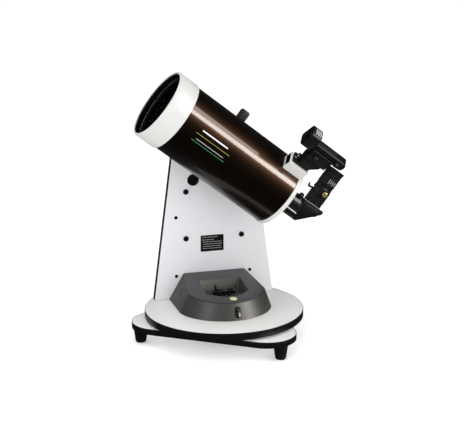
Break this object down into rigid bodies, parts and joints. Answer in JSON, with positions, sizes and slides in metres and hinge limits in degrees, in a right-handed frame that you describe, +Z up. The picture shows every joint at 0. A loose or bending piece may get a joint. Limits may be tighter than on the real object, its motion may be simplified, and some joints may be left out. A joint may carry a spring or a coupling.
{
  "type": "catadioptric telescope",
  "caption": "Short catadioptric telescope tube with star diagonal, eyepiece and red-dot finder on a single-arm motorised tabletop mount with a round turntable and a three-footed base.",
  "frame": {"origin": "centre of the pivot plate's underside, on the azimuth axis; the feet reach 24 mm lower", "axes": "+Z up along the azimuth axis; the side panel stands at +Y; the tube points up and towards -X; the feet rest on the floor"},
  "size_m": [0.4287, 0.3382, 0.5451],
  "materials": {
    "board_white": "satin white laminate on chipboard",
    "edge_black": "satin black edging",
    "rubber_black": "matt black rubber",
    "steel": "plain steel",
    "aluminium": "plain aluminium",
    "brass": "plain brass",
    "housing_grey": "dark grey satin moulding",
    "circuit_green": "green circuit board",
    "plastic_black": "black moulding",
    "anodised_black": "black anodised",
    "enamel_white": "white enamel",
    "tube_enamel": "gloss metallic dark brown enamel",
    "coated_glass": "coated optical glass",
    "mirror_coating": "aluminised front surface"
  },
  "bodies": {
    "stand": {"base_board": "board_white", "base_edge_band": "edge_black", "foot_1": "rubber_black", "foot_2": "rubber_black", "foot_3": "rubber_black", "pivot_plate": "steel", "pivot_stud": "steel", "bearing_ring": "aluminium", "azimuth_wheel": "brass"},
    "clutch": {"clutch_lever": "plastic_black"},
    "turntable": {"turntable_board": "board_white", "turntable_edge_band": "edge_black", "base_housing": "housing_grey", "azimuth_motor": "steel", "control_board": "circuit_green", "battery_tray": "plastic_black", "side_panel": "board_white", "panel_edge_band": "edge_black", "panel_bolt_1": "plastic_black", "panel_bolt_2": "plastic_black", "panel_bolt_3": "plastic_black", "altitude_cover": "housing_grey", "altitude_motor": "steel", "altitude_bushing": "brass"},
    "switch": {"power_switch": "plastic_black"},
    "azimuth_worm_body": {"azimuth_worm": "steel"},
    "altitude_worm_body": {"altitude_worm": "steel"},
    "arm": {"altitude_shaft": "steel", "altitude_wheel": "brass", "saddle": "anodised_black"},
    "clamp_knob": {"saddle_knob": "plastic_black"},
    "clamp_jaw": {"saddle_jaw": "aluminium"},
    "telescope": {"dovetail_bar": "aluminium", "tube_shell": "tube_enamel", "front_ring": "enamel_white", "corrector_lens": "coated_glass", "corrector_retainer": "plastic_black", "secondary_baffle": "plastic_black", "rear_cell": "enamel_white", "visual_back": "anodised_black", "primary_baffle": "plastic_black", "finder_bracket": "plastic_black"},
    "focuser": {"focus_knob": "rubber_black"},
    "mirror": {"primary_mirror": "mirror_coating", "mirror_carriage": "aluminium"},
    "back_screw": {"visual_back_screw": "anodised_black"},
    "diagonal": {"diagonal_body": "plastic_black", "diagonal_mirror": "mirror_coating", "eyepiece_holder": "anodised_black"},
    "brass_screw": {"holder_screw_1": "brass"},
    "chrome_screw": {"holder_screw_2": "steel"},
    "eyepiece": {"eyepiece_body": "anodised_black", "eye_cup": "rubber_black", "eye_lens": "coated_glass"},
    "cradle": {"finder_cradle": "plastic_black"},
    "sight": {"finder_body": "plastic_black", "finder_window": "coated_glass"},
    "tilt_knob": {"finder_tilt_knob": "plastic_black"},
    "swivel_knob": {"finder_swivel_knob": "plastic_black"},
    "dial": {"finder_dial": "plastic_black"}
  },
  "joints": [
    {"name": "azimuth", "type": "hinge", "parent": "stand", "child": "turntable", "pos_m": [0, 0, 0.0383], "axis": [0, 0, 1], "continuous": true},
    {"name": "clutch", "type": "hinge", "parent": "stand", "child": "clutch", "pos_m": [0, 0, 0.0608], "axis": [0, 0, 1], "range_deg": [0, 60]},
    {"name": "azimuth_worm", "type": "hinge", "parent": "turntable", "child": "azimuth_worm_body", "pos_m": [0, 0.0465, 0.0463], "axis": [1, 0, 0], "continuous": true},
    {"name": "power_switch", "type": "hinge", "parent": "turntable", "child": "switch", "pos_m": [0.00558, -0.08416, 0.0533], "axis": [0.9981, 0.061, 0], "range_deg": [-6, 6]},
    {"name": "altitude", "type": "hinge", "parent": "turntable", "child": "arm", "pos_m": [0, 0, 0.3588], "axis": [0, 1, 0], "range_deg": [-43, 52]},
    {"name": "altitude_worm", "type": "hinge", "parent": "turntable", "child": "altitude_worm_body", "pos_m": [-0.035, 0.1019, 0.3588], "axis": [0, 0, 1], "range_deg": [-1300, 1570]},
    {"name": "clamp_knob", "type": "hinge", "parent": "arm", "child": "clamp_knob", "pos_m": [0.0063, 0.0534, 0.35387], "axis": [0.6157, 0, 0.788], "range_deg": [0, 346]},
    {"name": "clamp_jaw", "type": "slide", "parent": "arm", "child": "clamp_jaw", "axis": [0.6157, 0, 0.788], "range_m": [0, 0.0012]},
    {"name": "tube_slide", "type": "slide", "parent": "arm", "child": "telescope", "axis": [0.788, 0, -0.6157], "range_m": [-0.03, 0.03]},
    {"name": "focus", "type": "hinge", "parent": "telescope", "child": "focuser", "pos_m": [-0.14578, -0.05995, 0.45044], "axis": [0.788, 0, -0.6157], "range_deg": [-2161, 2161]},
    {"name": "mirror_travel", "type": "slide", "parent": "telescope", "child": "mirror", "axis": [0.788, 0, -0.6157], "range_m": [-0.006, 0.006]},
    {"name": "back_screw", "type": "hinge", "parent": "telescope", "child": "back_screw", "pos_m": [0.13514, -0.024, 0.25321], "axis": [0.4575, -0.6691, 0.5856], "range_deg": [0, 360]},
    {"name": "diagonal_turn", "type": "hinge", "parent": "telescope", "child": "diagonal", "pos_m": [0.16391, -0.024, 0.23074], "axis": [0.788, 0, -0.6157], "range_deg": [-40, 90]},
    {"name": "brass_screw", "type": "hinge", "parent": "diagonal", "child": "brass_screw", "pos_m": [0.19364, -0.024, 0.2688], "axis": [0, -1, 0], "range_deg": [0, 360]},
    {"name": "chrome_screw", "type": "hinge", "parent": "diagonal", "child": "chrome_screw", "pos_m": [0.19364, -0.024, 0.2688], "axis": [-0.788, 0, 0.6157], "range_deg": [0, 360]},
    {"name": "eyepiece_slide", "type": "slide", "parent": "diagonal", "child": "eyepiece", "axis": [0.6157, 0, 0.788], "range_m": [0, 0.026]},
    {"name": "finder_yaw", "type": "hinge", "parent": "telescope", "child": "cradle", "pos_m": [0.15507, -0.10088, 0.35392], "axis": [0.4716, -0.6428, 0.6037], "range_deg": [-2, 2]},
    {"name": "finder_pitch", "type": "hinge", "parent": "cradle", "child": "sight", "pos_m": [0.16851, -0.1192, 0.37112], "axis": [0.3957, 0.766, 0.5065], "range_deg": [-2, 2]},
    {"name": "tilt_knob", "type": "hinge", "parent": "cradle", "child": "tilt_knob", "pos_m": [0.15418, -0.10988, 0.36822], "axis": [0.3957, 0.766, 0.5065], "range_deg": [-181, 181]},
    {"name": "swivel_knob", "type": "hinge", "parent": "telescope", "child": "swivel_knob", "pos_m": [0.16423, -0.09779, 0.34209], "axis": [0.788, 0, -0.6157], "range_deg": [-181, 181]},
    {"name": "brightness_dial", "type": "hinge", "parent": "sight", "child": "dial", "pos_m": [0.19293, -0.1192, 0.35203], "axis": [0.3957, 0.766, 0.5065], "range_deg": [0, 180]}
  ],
  "couplings": [
    {"joint": "azimuth_worm", "follows": "azimuth", "ratio": 40},
    {"joint": "altitude_worm", "follows": "altitude", "ratio": 30},
    {"joint": "clamp_knob", "follows": "clamp_jaw", "rad_per_m": 5026.5},
    {"joint": "focus", "follows": "mirror_travel", "rad_per_m": 6283.2},
    {"joint": "tilt_knob", "follows": "finder_pitch", "ratio": 90},
    {"joint": "swivel_knob", "follows": "finder_yaw", "ratio": 90}
  ]
}
